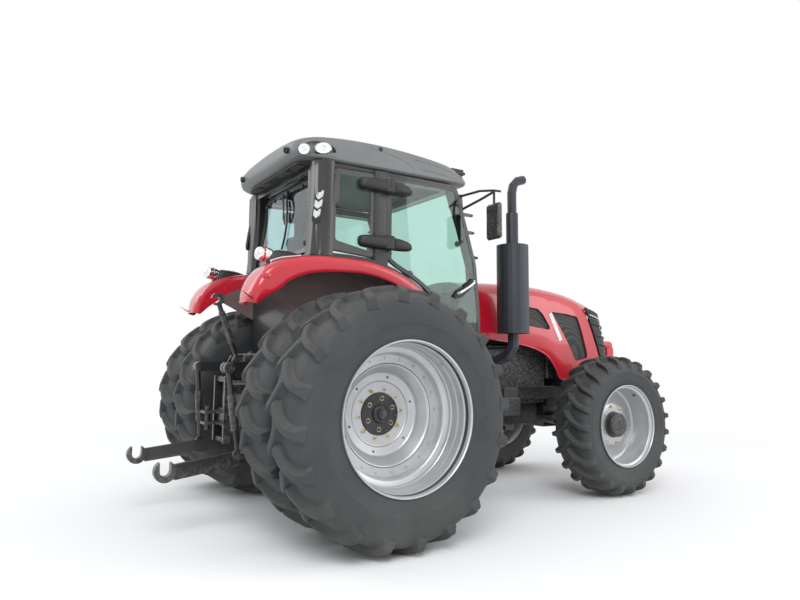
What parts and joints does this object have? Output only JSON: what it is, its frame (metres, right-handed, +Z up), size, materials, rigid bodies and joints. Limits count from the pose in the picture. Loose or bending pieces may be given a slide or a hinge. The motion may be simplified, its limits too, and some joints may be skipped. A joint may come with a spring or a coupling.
{
  "type": "farm tractor",
  "caption": "Red four-wheel-drive row-crop farm tractor with twin rear wheels, glazed cab, tilting hood, front weight, side exhaust stack and rear three-point hitch.",
  "frame": {"origin": "bottom centre of the bounding box, on the ground under the middle of the tractor", "axes": "+X forward to the hood and the front weight, +Y to the left side, +Z up"},
  "size_m": [5.288, 3.264, 3.13],
  "materials": {
    "red_paint": "gloss red body paint",
    "grey_plastic": "moulded grey plastic",
    "black_frame": "satin black paint",
    "glass": "clear tinted safety glass",
    "tyre": "black rubber",
    "silver_rim": "silver painted steel",
    "cast_black": "satin black paint on castings",
    "dark_blue_steel": "satin dark blue grey heat paint",
    "engine_grey": "dark painted engine casting",
    "seat_fabric": "dark woven seat cover",
    "lamp": "lamp housing with clear lens"
  },
  "bodies": {
    "chassis": {"front_axle": "cast_black", "front_frame": "cast_black", "engine": "engine_grey", "radiator": "engine_grey", "hood_bulkhead": "cast_black", "gearbox": "cast_black", "rear_axle_housing": "cast_black", "front_weight": "red_paint", "exhaust": "dark_blue_steel", "battery_box": "grey_plastic", "cab_frame": "black_frame", "roof": "grey_plastic", "windscreen": "glass", "rear_window": "glass", "driver_seat": "seat_fabric", "console": "grey_plastic", "fuel_tank": "grey_plastic", "hitch_frame": "cast_black", "side_window_right": "glass", "fender_right": "red_paint", "fender_lamp_right": "lamp", "steps_right": "cast_black", "mirror_right": "cast_black", "side_window_left": "glass", "fender_left": "red_paint", "fender_lamp_left": "lamp", "steps_left": "cast_black", "mirror_left": "cast_black"},
    "rear_wheels_right": {"rear_rims_right": "silver_rim", "rear_tyre_inner_right": "tyre", "rear_tyre_outer_right": "tyre"},
    "knuckle_right": {"steering_knuckle_right": "cast_black"},
    "front_wheel_right": {"front_rim_right": "silver_rim", "front_tyre_right": "tyre"},
    "door_right": {"door_frame_right": "black_frame", "door_glass_right": "glass"},
    "lower_link_right": {"lower_link_right": "cast_black"},
    "lift_rod_right": {"lift_rod_right": "cast_black"},
    "rear_wheels_left": {"rear_rims_left": "silver_rim", "rear_tyre_inner_left": "tyre", "rear_tyre_outer_left": "tyre"},
    "knuckle_left": {"steering_knuckle_left": "cast_black"},
    "front_wheel_left": {"front_rim_left": "silver_rim", "front_tyre_left": "tyre"},
    "door_left": {"door_frame_left": "black_frame", "door_glass_left": "glass"},
    "lower_link_left": {"lower_link_left": "cast_black"},
    "lift_rod_left": {"lift_rod_left": "cast_black"},
    "hood": {"hood": "red_paint", "hood_grille": "grey_plastic"},
    "top_link": {"top_link": "cast_black"},
    "lift_arms": {"lift_arms": "cast_black"},
    "steering_wheel": {"steering_wheel": "black_frame"}
  },
  "joints": [
    {"name": "rear_wheels_turn_right", "type": "hinge", "parent": "chassis", "child": "rear_wheels_right", "pos_m": [-1.296, -0.862, 0.884], "axis": [0, 1, 0], "continuous": true},
    {"name": "rear_wheels_turn_left", "type": "hinge", "parent": "chassis", "child": "rear_wheels_left", "pos_m": [-1.296, 0.862, 0.884], "axis": [0, 1, 0], "continuous": true},
    {"name": "steer_right", "type": "hinge", "parent": "chassis", "child": "knuckle_right", "pos_m": [1.56, -0.7, 0.66], "axis": [0, 0, 1], "range_deg": [-35, 35]},
    {"name": "front_wheel_turn_right", "type": "hinge", "parent": "knuckle_right", "child": "front_wheel_right", "pos_m": [1.56, -0.889, 0.66], "axis": [0, 1, 0], "continuous": true},
    {"name": "steer_left", "type": "hinge", "parent": "chassis", "child": "knuckle_left", "pos_m": [1.56, 0.7, 0.66], "axis": [0, 0, 1], "range_deg": [-35, 35]},
    {"name": "front_wheel_turn_left", "type": "hinge", "parent": "knuckle_left", "child": "front_wheel_left", "pos_m": [1.56, 0.889, 0.66], "axis": [0, 1, 0], "continuous": true},
    {"name": "hood_tilt", "type": "hinge", "parent": "chassis", "child": "hood", "pos_m": [0.154, 0, 1.968], "axis": [0, -1, 0], "range_deg": [0, 45]},
    {"name": "door_open_right", "type": "hinge", "parent": "chassis", "child": "door_right", "pos_m": [-0.95, -0.764, 2], "axis": [0, 0, -1], "range_deg": [0, 55]},
    {"name": "door_open_left", "type": "hinge", "parent": "chassis", "child": "door_left", "pos_m": [-0.95, 0.764, 2], "axis": [0, 0, 1], "range_deg": [0, 55]},
    {"name": "steering_wheel_turn", "type": "hinge", "parent": "chassis", "child": "steering_wheel", "pos_m": [-0.396, 0, 1.96], "axis": [-0.5215, 0, 0.8533], "continuous": true},
    {"name": "top_link_swing", "type": "hinge", "parent": "chassis", "child": "top_link", "pos_m": [-1.916, 0, 1.245], "axis": [0, -1, 0], "range_deg": [0, 80]},
    {"name": "lift_arms_raise", "type": "hinge", "parent": "chassis", "child": "lift_arms", "pos_m": [-1.716, 0, 1.2], "axis": [0, 1, 0], "range_deg": [-12, 30]},
    {"name": "lower_link_raise_right", "type": "hinge", "parent": "chassis", "child": "lower_link_right", "pos_m": [-1.476, -0.27, 0.6], "axis": [0, 1, 0], "range_deg": [-8.2, 20.4]},
    {"name": "lift_rod_swing_right", "type": "hinge", "parent": "lift_arms", "child": "lift_rod_right", "pos_m": [-2.116, -0.405, 1.19], "axis": [0, 1, 0], "range_deg": [-30.5, 12.5]},
    {"name": "lower_link_raise_left", "type": "hinge", "parent": "chassis", "child": "lower_link_left", "pos_m": [-1.476, 0.27, 0.6], "axis": [0, 1, 0], "range_deg": [-8.2, 20.4]},
    {"name": "lift_rod_swing_left", "type": "hinge", "parent": "lift_arms", "child": "lift_rod_left", "pos_m": [-2.116, 0.405, 1.19], "axis": [0, 1, 0], "range_deg": [-30.5, 12.5]}
  ],
  "couplings": [
    {"joint": "steer_left", "follows": "steer_right", "ratio": 1},
    {"joint": "lower_link_raise_right", "follows": "lift_arms_raise", "ratio": 0.678},
    {"joint": "lift_rod_swing_right", "follows": "lift_arms_raise", "ratio": -1},
    {"joint": "lower_link_raise_left", "follows": "lift_arms_raise", "ratio": 0.678},
    {"joint": "lift_rod_swing_left", "follows": "lift_arms_raise", "ratio": -1}
  ]
}
